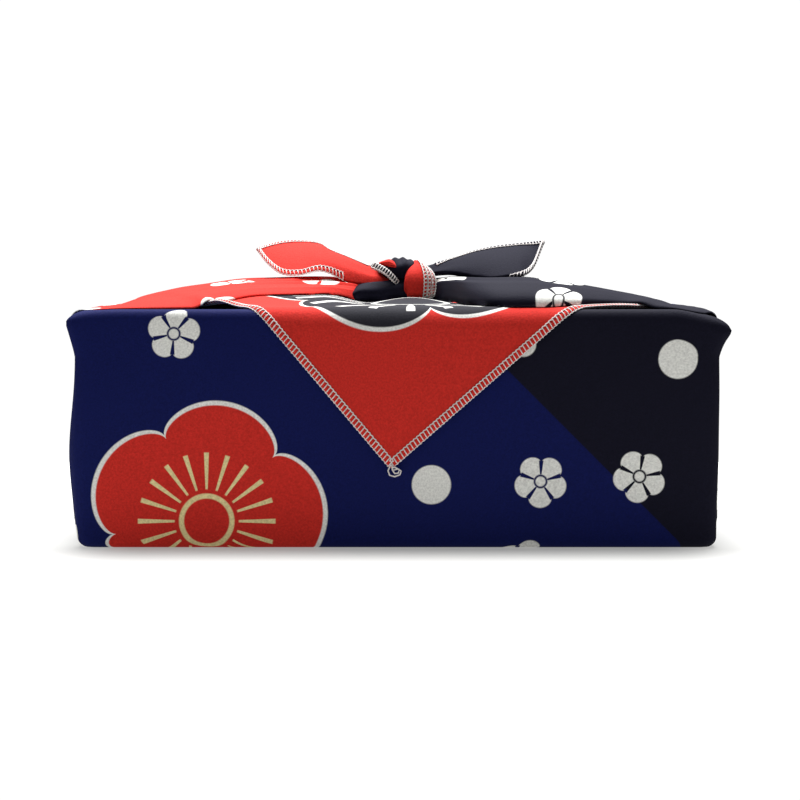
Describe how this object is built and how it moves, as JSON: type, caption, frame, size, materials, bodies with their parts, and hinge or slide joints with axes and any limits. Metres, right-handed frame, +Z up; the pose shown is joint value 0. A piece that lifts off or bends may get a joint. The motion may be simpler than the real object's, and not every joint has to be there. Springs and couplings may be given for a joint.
{
  "type": "box in a knotted fabric gift wrap",
  "caption": "Low box tied up in a square wrapping cloth: a pointed flap hangs over the front, the gathered sides meet in a knot with two free ends on top.",
  "frame": {"origin": "Middle of the flat base, on the surface that the wrapped box stands on.", "axes": "+X runs along the long side, from the left free end to the right one; +Y points from the front, where the pointed flap hangs, to the back; +Z points up."},
  "size_m": [0.2911, 0.2204, 0.1359],
  "materials": {
    "cloth": "fine crepe, matt, navy with red and near-black fields",
    "box": "plain, matt"
  },
  "bodies": {
    "root": {"wrap_cloth": "cloth", "gift_box": "box"}
  },
  "joints": []
}
